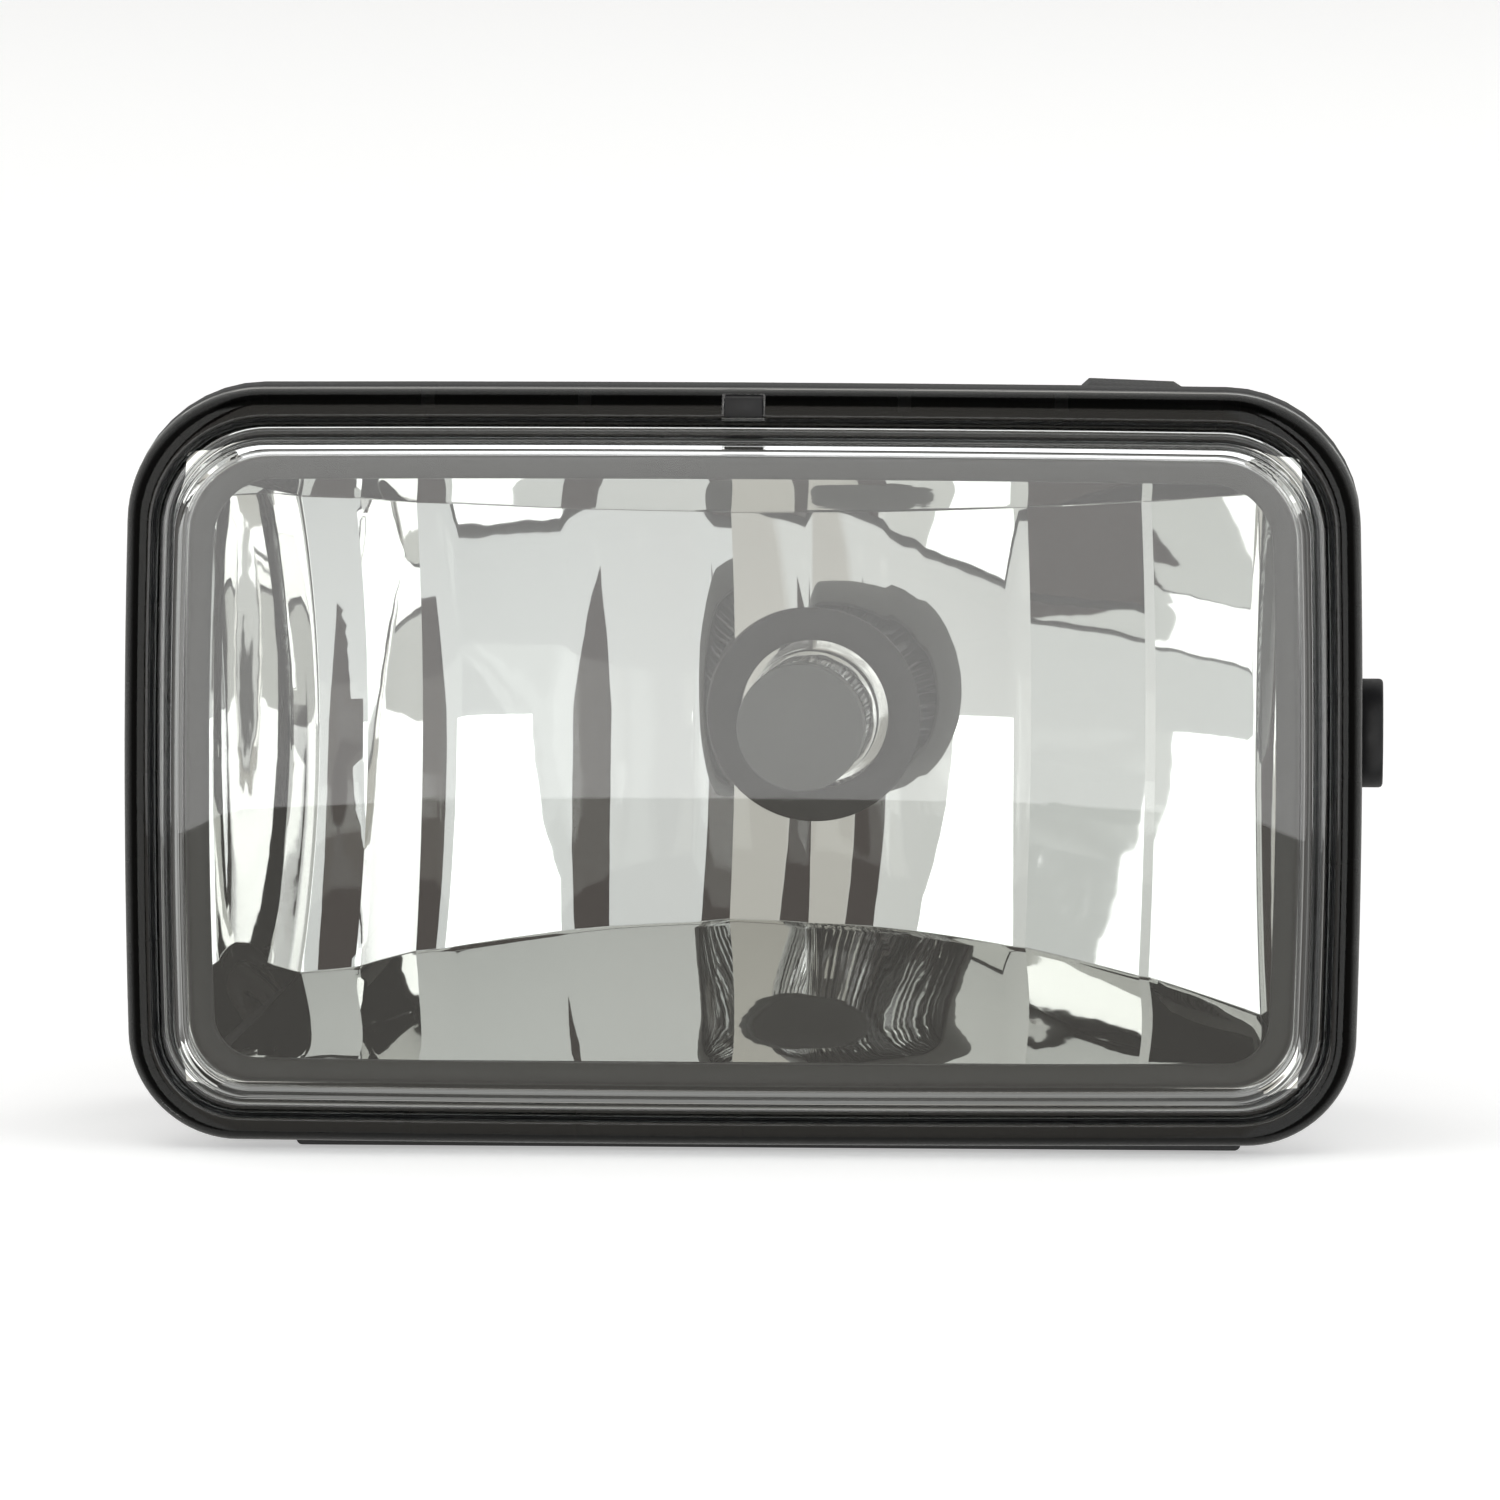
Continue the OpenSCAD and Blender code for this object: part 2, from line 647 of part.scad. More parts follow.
lens();
lens_seal();
bezel();
reflector();
reflector_screws();
housing();
socket_trim_ring();
bulb_socket();
vent_cap();
vent_membrane();
pivot_pin_left();
pivot_pin_right();
bulb_base();
bulb_collar();
bulb_glass();
bulb_cap();
filament();
filament_leads();
bulb_terminals();
bulb_o_ring();
mount_bracket();
mount_sleeves();
pivot_bush_left();
pivot_bush_right();
aim_screw();
screw_clip();
aim_nut();
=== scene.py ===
"""Fog light: the looks of the lens, optics, case, bulb and bracket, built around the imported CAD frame."""
import json
import math

import bmesh
import bpy
import numpy as np
from mathutils import Matrix, Vector


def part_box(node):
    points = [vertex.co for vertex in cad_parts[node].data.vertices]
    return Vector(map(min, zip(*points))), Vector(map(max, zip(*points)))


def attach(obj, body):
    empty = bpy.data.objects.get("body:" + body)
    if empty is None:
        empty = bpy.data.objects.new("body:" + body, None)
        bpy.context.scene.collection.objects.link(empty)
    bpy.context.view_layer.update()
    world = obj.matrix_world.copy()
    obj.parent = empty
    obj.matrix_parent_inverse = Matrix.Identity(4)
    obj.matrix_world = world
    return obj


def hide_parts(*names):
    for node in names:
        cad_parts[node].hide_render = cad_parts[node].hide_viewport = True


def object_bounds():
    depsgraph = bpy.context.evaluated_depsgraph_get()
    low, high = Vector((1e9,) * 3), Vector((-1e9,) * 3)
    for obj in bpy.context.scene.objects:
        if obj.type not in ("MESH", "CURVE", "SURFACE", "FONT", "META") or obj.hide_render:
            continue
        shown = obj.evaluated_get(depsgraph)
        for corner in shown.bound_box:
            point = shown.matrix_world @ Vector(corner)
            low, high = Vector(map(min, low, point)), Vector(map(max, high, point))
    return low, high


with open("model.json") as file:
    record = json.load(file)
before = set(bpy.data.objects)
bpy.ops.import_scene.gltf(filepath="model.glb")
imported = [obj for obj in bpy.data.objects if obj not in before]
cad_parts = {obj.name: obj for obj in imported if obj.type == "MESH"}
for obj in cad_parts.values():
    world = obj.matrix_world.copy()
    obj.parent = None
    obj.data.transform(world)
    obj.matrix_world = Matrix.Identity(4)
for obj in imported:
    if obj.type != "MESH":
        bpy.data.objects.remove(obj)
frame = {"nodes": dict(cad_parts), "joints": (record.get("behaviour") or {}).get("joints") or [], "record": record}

cad_box = [list(corner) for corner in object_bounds()]

MM = 0.001

# ---------------------------------------------------------------- places, from the frame
lens_low, lens_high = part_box("lens")
HALF_W = (lens_high.x - lens_low.x) / 2 / MM
HALF_H = (lens_high.z - lens_low.z) / 2 / MM
LEG = 4.0                                       # the lens's glue leg, behind the parting plane
RIM_Y = lens_high.y / MM - LEG                  # the parting plane between lens and housing
CROWN = 0.9                                     # how far the lens face domes out at its middle
FACE = lens_low.y / MM - RIM_Y + CROWN          # the lens face at its border, without its crown

twist = next(j for j in frame["joints"] if j["name"] == "bulb_twist")
OPTIC_AXIS = Vector(twist["axis"]).normalized()
OPTIC_YAW = math.atan2(OPTIC_AXIS.x, OPTIC_AXIS.y)
WINDOW_Y = -4.0                                 # plane of the reflector's window, from the parting plane
window_point = Vector(twist["pos_m"]) / MM
window_point -= OPTIC_AXIS * (window_point.y - RIM_Y - WINDOW_Y) / OPTIC_AXIS.y
ring_vertices = frame["nodes"]["socket_trim_ring"].data.vertices
RING_FRONT = min((v.co / MM - window_point).dot(OPTIC_AXIS) for v in ring_vertices)
RING_STEP = 1.6                                 # how far the ring stands in front of the bowl's middle
REFLECTOR_DEPTH = RING_FRONT + RING_STEP        # window to the bowl's middle, along the optical axis

CROWN_X, CROWN_Z = 1.0, 0.4                     # how far the outline's sides bow outwards
RIM_R_TOP, RIM_R_BOTTOM = 17.5, 14.2            # radii of the rim's upper and lower corners
R_LOSS_TOP, R_LOSS_BOTTOM = 0.85, 0.75          # how much those radii shrink per mm of inset
WINDOW_INSET, WINDOW_R = 11.6, 5.0              # the reflector's window: rim to its edge, corner radius
FOUR_F = 152.0                                  # four times the bowl's focal length
DRAFT = math.tan(math.radians(10.7))            # draft of the reflector's walls


# ---------------------------------------------------------------- mesh helpers, in mm
EDGE_ANGLE = 32                                 # edges sharper than this, in degrees, are rounded


def lamp_point(x, depth, z):
    """A point of the lamp, its depth measured back from the parting plane, in metres."""
    return Vector((x, RIM_Y + depth, z)) * MM


def optic_point(x, up, along):
    """A point beside, above and along the optical axis, measured back from the window, in metres."""
    side = Vector((OPTIC_AXIS.y, -OPTIC_AXIS.x, 0))
    return (window_point + side * x + Vector((0, 0, up)) + OPTIC_AXIS * along) * MM


def arc(cx, cz, r, start, steps):
    """A quarter circle from an angle in degrees, anticlockwise."""
    turn = np.radians(start + 90 * np.arange(steps + 1) / steps)
    return np.stack([cx + r * np.cos(turn), cz + r * np.sin(turn)], axis=1)


def rounded(a, b, r_top, r_bottom, corner_steps=20, side_steps=14):
    """A rounded rectangle of half sizes a and b as a closed ring of points, anticlockwise."""
    corners = [arc(a - r_top, b - r_top, r_top, 0, corner_steps),
               arc(-a + r_top, b - r_top, r_top, 90, corner_steps),
               arc(-a + r_bottom, -b + r_bottom, r_bottom, 180, corner_steps),
               arc(a - r_bottom, -b + r_bottom, r_bottom, 270, corner_steps)]
    ring = []
    for i, corner in enumerate(corners):
        after = corners[(i + 1) % 4][0]
        share = (np.arange(1, side_steps) / side_steps)[:, None]
        ring += [corner, corner[-1] + (after - corner[-1]) * share]
    return np.concatenate(ring)


def outline(inset):
    """The lamp's bowed outline, moved inwards."""
    a = HALF_W - CROWN_X - inset
    b = HALF_H - CROWN_Z - inset
    r_top = min(b, max(WINDOW_R, RIM_R_TOP - R_LOSS_TOP * inset))
    r_bottom = min(b, max(WINDOW_R, RIM_R_BOTTOM - R_LOSS_BOTTOM * inset))
    points = rounded(a, b, r_top, r_bottom)
    x, z = points[:, 0], points[:, 1]
    return np.stack([x * (1 + CROWN_X / a * (1 - (z / b) ** 2)),
                     z * (1 + CROWN_Z / b * (1 - (x / a) ** 2))], axis=1)


def chaikin(points, passes=2, closed=False):
    """Rounds a profile's corners by cutting them."""
    points = np.array(points, float)
    for _ in range(passes):
        after = np.roll(points, -1, axis=0) if closed else points[1:]
        before = points if closed else points[:-1]
        cut = np.stack([before * 0.75 + after * 0.25, before * 0.25 + after * 0.75], axis=1).reshape(-1, 2)
        points = cut if closed else np.concatenate([points[:1], cut, points[-1:]])
    return points


def build(name, points, faces, finish, smooth=True, sharp_angle=35):
    """A mesh object from points in metres, with its normals pointing outwards."""
    mesh = bpy.data.meshes.new(name)
    mesh.from_pydata([tuple(p) for p in points], [], [tuple(f) for f in faces])
    mesh.validate()
    mesh.update()
    piece = bpy.data.objects.new(name, mesh)
    bpy.context.scene.collection.objects.link(piece)
    piece.data.materials.append(finish)
    tidy_mesh(piece)
    if smooth:
        shade_smooth(piece, sharp_angle)
    return piece


def tidy_mesh(piece, distance=1e-6):
    """Merges doubles and points every face outwards."""
    work = bmesh.new()
    work.from_mesh(piece.data)
    bmesh.ops.remove_doubles(work, verts=work.verts, dist=distance)
    bmesh.ops.recalc_face_normals(work, faces=work.faces)
    work.to_mesh(piece.data)
    work.free()


def shade_smooth(piece, sharp_angle):
    """Shades a piece smooth but for edges sharper than an angle in degrees."""
    for face in piece.data.polygons:
        face.use_smooth = True
    piece.data.set_sharp_from_angle(angle=math.radians(sharp_angle))


def apply_modifiers(piece):
    """Turns a piece with modifiers into a plain mesh."""
    graph = bpy.context.evaluated_depsgraph_get()
    graph.update()
    piece.data = bpy.data.meshes.new_from_object(piece.evaluated_get(graph))
    piece.modifiers.clear()


def round_edges(piece, width, segments, sharper_than):
    """Rounds the edges of a piece that are sharper than an angle in degrees; width is in mm."""
    bevel = piece.modifiers.new("edges", "BEVEL")
    bevel.width, bevel.segments, bevel.limit_method = width * MM, segments, "ANGLE"
    bevel.angle_limit = math.radians(sharper_than)
    apply_modifiers(piece)


def block(name, low, high, finish):
    """A box between two of its corners."""
    corners = [(x, y, z) for x in (low.x, high.x) for y in (low.y, high.y) for z in (low.z, high.z)]
    faces = [(0, 1, 3, 2), (4, 6, 7, 5), (0, 4, 5, 1), (2, 3, 7, 6), (0, 2, 6, 4), (1, 5, 7, 3)]
    return build(name, corners, faces, finish, smooth=False)


def loft_faces(loops, count, closed):
    """Quads between rings of count points, each ring joined to the next."""
    faces = []
    for i in range(loops if closed else loops - 1):
        j = (i + 1) % loops
        for k in range(count):
            n = (k + 1) % count
            faces.append((i * count + k, i * count + n, j * count + n, j * count + k))
    return faces


def ring_loft(name, rings, finish, capped=False, sharp_angle=35):
    """A skin through rings of points, closed on itself or capped at both ends."""
    count = len(rings[0])
    points = [p for ring in rings for p in ring]
    faces = loft_faces(len(rings), count, not capped)
    if capped:
        faces.append(tuple(range(count)))
        faces.append(tuple(range((len(rings) - 1) * count, len(rings) * count)))
    return build(name, points, faces, finish, sharp_angle=sharp_angle)


def place(piece, body, slot, *nodes):
    """Gives a finished piece its body and hides the CAD nodes that it stands for; the slot argument is not used.
    """
    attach(piece, body)
    if nodes:
        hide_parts(*nodes)
    return piece


# ---------------------------------------------------------------- materials
def linear(code):
    """An sRGB hex colour as linear RGBA."""
    parts = [int(code[i:i + 2], 16) / 255 for i in (0, 2, 4)]
    return (*[c / 12.92 if c <= 0.04045 else ((c + 0.055) / 1.055) ** 2.4 for c in parts], 1.0)


def add(tree, kind, values=(), **settings):
    """Adds a shader node, sets it up, and fills its inputs with numbers, colours or links."""
    node = tree.nodes.new(kind)
    for key, value in settings.items():
        setattr(node, key, value)
    for key, value in dict(values).items():
        if isinstance(value, bpy.types.NodeSocket):
            tree.links.new(value, node.inputs[key])
        else:
            node.inputs[key].default_value = value
    return node


def new_material(name):
    """An empty node material, with its tree."""
    material = bpy.data.materials.new(name)
    material.use_nodes = True
    material.node_tree.nodes.clear()
    return material, material.node_tree


def finish_with(tree, shader):
    add(tree, "ShaderNodeOutputMaterial", {"Surface": shader})


def mm_scale(size):
    """The scale of a pattern on object coordinates whose features are size mm across."""
    return 1 / (size * MM)


GRAIN_RELIEF = 0.03 * MM                        # height of the grain on moulded plastic
FLOW_MARKS = 22                                 # size of the faint flow marks, in mm
PLASTIC_IOR = 1.5
MIRROR_WAVE, MIRROR_RELIEF = 9, 0.05 * MM       # size in mm and height of the moulding's waves


def moulded_plastic(name, colour, lighter, roughness, grain_mm, grain_depth=0.25):
    """Injection-moulded plastic: an even dark skin with fine spark-erosion grain and faint flow marks."""
    material, tree = new_material(name)
    place_at = add(tree, "ShaderNodeTexCoord").outputs["Object"]
    grain = add(tree, "ShaderNodeTexNoise", {"Vector": place_at, "Scale": mm_scale(grain_mm), "Detail": 3.0})
    flow = add(tree, "ShaderNodeTexNoise", {"Vector": place_at, "Scale": mm_scale(FLOW_MARKS),
                                            "Detail": 2.0})
    mix = add(tree, "ShaderNodeMix", {0: flow.outputs["Fac"], 6: linear(colour), 7: linear(lighter)},
              data_type="RGBA")
    rough = add(tree, "ShaderNodeMapRange", {"Value": grain.outputs["Fac"], "From Min": 0.3, "From Max": 0.7,
                                             "To Min": roughness - 0.06, "To Max": roughness + 0.06})
    bump = add(tree, "ShaderNodeBump", {"Height": grain.outputs["Fac"], "Strength": grain_depth,
                                        "Distance": GRAIN_RELIEF})
    skin = add(tree, "ShaderNodeBsdfPrincipled", {"Base Color": mix.outputs[2],
                                                  "Roughness": rough.outputs["Result"],
                                                  "Normal": bump.outputs["Normal"], "IOR": PLASTIC_IOR})
    finish_with(tree, skin.outputs["BSDF"])
    return material


def clear_plastic(name, tint, roughness, ior):
    """Clear moulded plastic or glass: light passes with a faint tint, and a share of the light that falls
    on it goes straight through to what lies behind."""
    material, tree = new_material(name)
    place_at = add(tree, "ShaderNodeTexCoord").outputs["Object"]
    haze = add(tree, "ShaderNodeTexNoise", {"Vector": place_at, "Scale": mm_scale(6), "Detail": 3.0})
    rough = add(tree, "ShaderNodeMapRange", {"Value": haze.outputs["Fac"], "From Min": 0.55, "From Max": 0.8,
                                             "To Min": roughness, "To Max": roughness + 0.03})
    glass = add(tree, "ShaderNodeBsdfPrincipled", {"Base Color": linear(tint), "IOR": ior,
                                                   "Roughness": rough.outputs["Result"],
                                                   "Transmission Weight": 1.0})
    through = add(tree, "ShaderNodeBsdfTransparent", {"Color": linear(tint)})
    path = add(tree, "ShaderNodeLightPath")
    mix = add(tree, "ShaderNodeMixShader", {0: path.outputs["Is Shadow Ray"]})
    tree.links.new(glass.outputs["BSDF"], mix.inputs[1])
    tree.links.new(through.outputs["BSDF"], mix.inputs[2])
    finish_with(tree, mix.outputs["Shader"])
    return material


def metallised(name, colour, roughness):
    """Vacuum-metallised plastic: a bright mirror over slightly wavy moulding."""
    material, tree = new_material(name)
    place_at = add(tree, "ShaderNodeTexCoord").outputs["Object"]
    wave = add(tree, "ShaderNodeTexNoise", {"Vector": place_at, "Scale": mm_scale(MIRROR_WAVE),
                                            "Detail": 2.0})
    bump = add(tree, "ShaderNodeBump", {"Height": wave.outputs["Fac"], "Strength": 0.35,
                                        "Distance": MIRROR_RELIEF})
    skin = add(tree, "ShaderNodeBsdfPrincipled", {"Base Color": linear(colour), "Metallic": 1.0,
                                                  "Roughness": roughness, "Normal": bump.outputs["Normal"]})
    finish_with(tree, skin.outputs["BSDF"])
    return material


def plated_steel(name, colour, roughness):
    """Zinc-plated or rolled steel: a satin metal with a fine cloudy variation in its gloss."""
    material, tree = new_material(name)
    place_at = add(tree, "ShaderNodeTexCoord").outputs["Object"]
    cloud = add(tree, "ShaderNodeTexNoise", {"Vector": place_at, "Scale": mm_scale(1.5), "Detail": 4.0})
    rough = add(tree, "ShaderNodeMapRange", {"Value": cloud.outputs["Fac"], "From Min": 0.3, "From Max": 0.7,
                                             "To Min": roughness - 0.08, "To Max": roughness + 0.08})
    skin = add(tree, "ShaderNodeBsdfPrincipled", {"Base Color": linear(colour), "Metallic": 1.0,
                                                  "Roughness": rough.outputs["Result"]})
    finish_with(tree, skin.outputs["BSDF"])
    return material


# The cover and the bulb's tube: water-clear and glossy, so that what lies behind shows sharply.
polycarbonate = clear_plastic("clear hard-coated polycarbonate", "FAFCFC", 0.0, 1.585)
bulb_glass_finish = clear_plastic("clear quartz glass", "FAFBFB", 0.0, 1.46)
# The optics: a bright mirror that carries bands of light and dark.
mirror = metallised("aluminium-metallised moulding", "F1F1EF", 0.02)
# Moulded plastics: near-black skins with a soft broad sheen, duller where the grain is coarser.
case_plastic = moulded_plastic("black glass-filled polypropylene", "1E1E20", "262628", 0.4, 0.5)
bezel_plastic = moulded_plastic("dark grey satin ABS", "1F1E1C", "242321", 0.46, 0.4)
ring_plastic = moulded_plastic("matt black heat-proof plastic", "1C1917", "24201D", 0.5, 0.4)
bracket_plastic = moulded_plastic("black glass-filled nylon", "222224", "2A2A2C", 0.5, 0.6, 0.4)
acetal = moulded_plastic("black acetal", "1A1A1C", "222224", 0.35, 0.5, 0.15)
base_plastic = moulded_plastic("black heat-proof polyamide", "28282A", "303032", 0.45, 0.5)
# The ball nut: an ivory plastic with a waxy gloss.
natural_nylon = moulded_plastic("natural nylon", "D8CFB8", "E0D8C4", 0.4, 0.6)
# Sealant and rubbers: dull and soft-looking, the ring on the bulb a rusty red.
sealant = moulded_plastic("black butyl sealant", "0C0C0C", "101010", 0.6, 0.8)
silicone = moulded_plastic("red-brown silicone rubber", "6E2A1E", "7A3022", 0.4, 0.5, 0.1)
vent_rubber = moulded_plastic("black EPDM rubber", "121212", "181818", 0.65, 0.5, 0.3)
# The breather's film: chalky white.
membrane = moulded_plastic("porous white film", "E4E4E0", "ECECE8", 0.9, 0.3, 0.5)
# The bulb's cap: sprayed grey enamel with a low even sheen.
cap_enamel = moulded_plastic("grey heat-proof enamel", "62625F", "6A6A67", 0.45, 0.35, 0.2)
# Metals, from satin zinc and dark oiled spring steel to the bright collar and the yellowish blades.
zinc_steel = plated_steel("zinc-plated steel", "B9B9B4", 0.32)
collar_steel = plated_steel("bright rolled steel", "D8D8D4", 0.16)
spring_steel = plated_steel("oiled spring steel", "5A5A5C", 0.35)
lead_wire = plated_steel("nickel lead wire", "C8C4BC", 0.25)
tungsten = plated_steel("drawn tungsten wire", "6E6A66", 0.4)
tinned_brass = plated_steel("tinned brass", "CDBE86", 0.28)


# ---------------------------------------------------------------- lens
def crowned(points, depth, crown):
    """Points of a ring on the lens's face, which domes gently between its borders."""
    swell = crown * (1 - (points[:, 0] / HALF_W) ** 2) * (1 - (points[:, 1] / HALF_H) ** 2)
    return [lamp_point(x, depth - s, z) for (x, z), s in zip(points, swell)]


LENS_WALL = 2.4
FACE_INSET = 7.2                                # rim to the edge of the lens face
RISE_LENGTH = 14.0                              # how far in from there the crown is complete
NOTCH_HALF_W = 2.9
FACE_RINGS = [7.6, 8.6, 9.8, 11.2, 13, 16, 21, 26, 31, 36, 41, 46, 49.8]


def make_lens():
    """The lens, from profiles of (inset from the rim, depth): its border, its face and its inside."""
    border = chaikin([(0.0, 0.0), (0.0, -2.8), (0.5, -4.6), (1.6, -5.9), (2.6, -6.4), (3.3, -6.5),
                      (3.7, -6.3), (3.9, -5.7), (4.4, -5.3), (5.6, -5.2), (6.0, -5.5), (6.3, -6.4),
                      (6.5, FACE + 1.2)], 2)
    edge = chaikin([(6.5, FACE + 1.2), (6.6, FACE + 0.3), (FACE_INSET, FACE)], 3)
    back = FACE + LENS_WALL
    under = chaikin([(8.6, back), (8.2, back), (8.05, back + 0.4), (8.0, FACE + 5.6),
                     (7.4, -3.6), (5.4, -3.2), (4.6, -2.6), (4.6, LEG - 0.5)], 2)
    leg = [(4.6, LEG), (2.4, LEG), (2.4, 0.0)]
    rings = [crowned(outline(i), back, CROWN * rise(i)) for i in reversed(FACE_RINGS[2:])]
    rings += [crowned(outline(i), d, 0.0) for i, d in list(under) + leg + list(border) + list(edge[1:])]
    rings += [crowned(outline(i), FACE, CROWN * rise(i)) for i in FACE_RINGS]
    piece = ring_loft("clear_lens", rings, polycarbonate, capped=True, sharp_angle=50)
    return cut_notch(piece)


def rise(inset):
    """How much of the crown there is at an inset: none at the border, all of it inside."""
    t = min(1.0, (inset - FACE_INSET) / RISE_LENGTH)
    return t * t * (3 - 2 * t)


def cut_notch(piece):
    """Cuts the locating notch through the ridge at the top of the lens."""
    cutter = block("notch_cutter", lamp_point(-NOTCH_HALF_W, -9.0, HALF_H - 3.6),
                   lamp_point(NOTCH_HALF_W, -4.2, HALF_H + 1), polycarbonate)
    cut = piece.modifiers.new("notch", "BOOLEAN")
    cut.operation, cut.solver, cut.object = "DIFFERENCE", "EXACT", cutter
    apply_modifiers(piece)
    bpy.data.objects.remove(cutter)
    shade_smooth(piece, 50)
    return piece


place(make_lens(), "lamp", "clear_polycarbonate", "lens")


# ---------------------------------------------------------------- bezel
def make_bezel():
    """The trim frame, from a closed profile of (inset from the rim, depth)."""
    seat = WINDOW_Y - 0.05
    profile = chaikin([(8.3, seat), (9.6, seat), (10.2, -5.0), (10.4, seat), (11.5, seat), (11.7, -6.2),
                       (11.3, -6.7), (9.6, -6.9), (8.9, -6.6), (8.4, -5.6)], 2, closed=True)
    rings = [[lamp_point(x, d, z) for x, z in outline(i)] for i, d in profile]
    return ring_loft("bezel_frame", rings, bezel_plastic)


place(make_bezel(), "lamp", "bezel_plastic", "bezel")


# ---------------------------------------------------------------- reflector
FLUTE = 0.25                                    # how far each facet's middle lies behind its edges
# Edges of the vertical facets, across the optical axis. The outermost ones are cut by the side walls.
FACET_EDGES = [-64.0, -51.8, -32.4, -15.7, 0.0, 14.5, 30.5, 48.6, 66.0]
# Width of the flat strip along each facet's outer edge, and the strips' slope on either side.
STRIP_W = [5.4, 3.9, 4.4, 4.6, 3.7, 2.4, 1.4, 0.0]
STRIP_SLOPE_LEFT, STRIP_SLOPE_RIGHT = 0.417, 0.205
WALL_BOW = 1.6                                  # sets how far the walls bow outwards before the window
TINY = 1e-6                                     # keeps a column on its own side of a facet's edge
MIRROR_FILLET = 0.9                             # where the bowl meets its walls
CREASE_ANGLE = 12                               # bends sharper than this show as creases in the mirror
FLANGE_W = 3.2                                  # width of the flange round the window
FACET_STEPS, BOWL_ROWS, WALL_STEPS = 12, 36, 24     # how finely the mirror is divided


def bowl_depth(x, up):
    """The faceted bowl's place along the optical axis."""
    i = next((k for k in range(len(FACET_EDGES) - 2) if x < FACET_EDGES[k + 1]), len(FACET_EDGES) - 2)
    left_side = FACET_EDGES[i + 1] <= 0
    inner, outer = sorted(abs(edge) for edge in FACET_EDGES[i:i + 2])
    at = abs(x) if (x < 0) == left_side else -abs(x)
    strip, slope = STRIP_W[i], STRIP_SLOPE_LEFT if left_side else STRIP_SLOPE_RIGHT
    z_inner, z_outer = -inner ** 2 / FOUR_F, -outer ** 2 / FOUR_F
    if at > outer - strip:
        z = z_outer + slope * (outer - at)
    else:
        z_strip = z_outer + slope * strip
        t = (at - inner) / (outer - strip - inner)
        z = z_inner + (z_strip - z_inner) * t + 4 * FLUTE * t * (1 - t)
    return REFLECTOR_DEPTH - up ** 2 / FOUR_F + z


def to_lamp(x, up, along):
    """Optical coordinates to the lamp's x, depth and z, in mm."""
    p = optic_point(x, up, along) / MM
    return p.x, p.y - RIM_Y, p.z


def wall_at(side, depth):
    """The x of a side wall at a depth behind the parting plane."""
    back = depth - WINDOW_Y
    return side * (HALF_W - WINDOW_INSET) + back * (math.tan(OPTIC_YAW) - side * DRAFT)


def roof_at(depth):
    """The height of the ceiling at a depth behind the parting plane."""
    return HALF_H - WINDOW_INSET - (depth - WINDOW_Y) * DRAFT


def solve_bowl(x, up_share):
    """Where column x of the bowl lies at a share from the floor, -1, to the ceiling, 1."""
    up = 0.0
    for _ in range(30):
        lx, depth, _z = to_lamp(x, up, bowl_depth(x, up))
        up = roof_at(depth) * up_share
    return lx, depth, up


def edge_column(side, up_share):
    """The optical x at which the bowl meets a side wall."""
    low, high = (20.0, 90.0) if side > 0 else (-90.0, -20.0)
    for _ in range(50):
        x = (low + high) / 2
        lx, depth, _up = solve_bowl(x, up_share)
        outside = side * (lx - wall_at(side, depth)) > 0
        if (side > 0) == outside:
            high = x
        else:
            low = x
    return x


def facet_fractions(i):
    """Where the columns of facet i stand across it, from 0 to 1: close on its strip, even on the rest."""
    a, b = FACET_EDGES[i:i + 2]
    strip = STRIP_W[i] / (b - a)
    even = [(1 - strip) * k / FACET_STEPS for k in range(FACET_STEPS)]
    if b <= 0:
        return [0, strip / 2] + [strip + t for t in even]
    return even + [1 - strip, 1 - strip / 2]


def bowl_grid(shares):
    """The bowl's points in lamp coordinates, by column from left to right and by share of the height."""
    left = [edge_column(-1, s) for s in shares]
    right = [edge_column(1, s) for s in shares]
    columns = []
    for i in range(len(STRIP_W)):
        starts = left if i == 0 else [FACET_EDGES[i]] * len(shares)
        ends = right if i == len(STRIP_W) - 1 else [FACET_EDGES[i + 1]] * len(shares)
        for t in facet_fractions(i):
            columns.append([solve_bowl(start + (end - start) * t + TINY, s)
                            for start, end, s in zip(starts, ends, shares)])
    columns.append([solve_bowl(end - TINY, s) for end, s in zip(right, shares)])
    return np.array(columns)


def to_window(border, front, across):
    """A wall's points from the bowl's border to the window; across is the coordinate it stands along."""
    share = np.arange(WALL_STEPS + 1) / WALL_STEPS
    wall = border[:, None] + (front - border)[:, None] * share[:, None]
    wall[:, :, across] += np.copysign(WALL_BOW, border[:, None, across]) * (share - share ** 5)
    return wall


def grid_faces(first, n, m):
    """Quads over a grid of n by m points that starts at point number first."""
    corners = [first + i * m + j for i in range(n - 1) for j in range(m - 1)]
    return [(c, c + m, c + m + 1, c + 1) for c in corners]


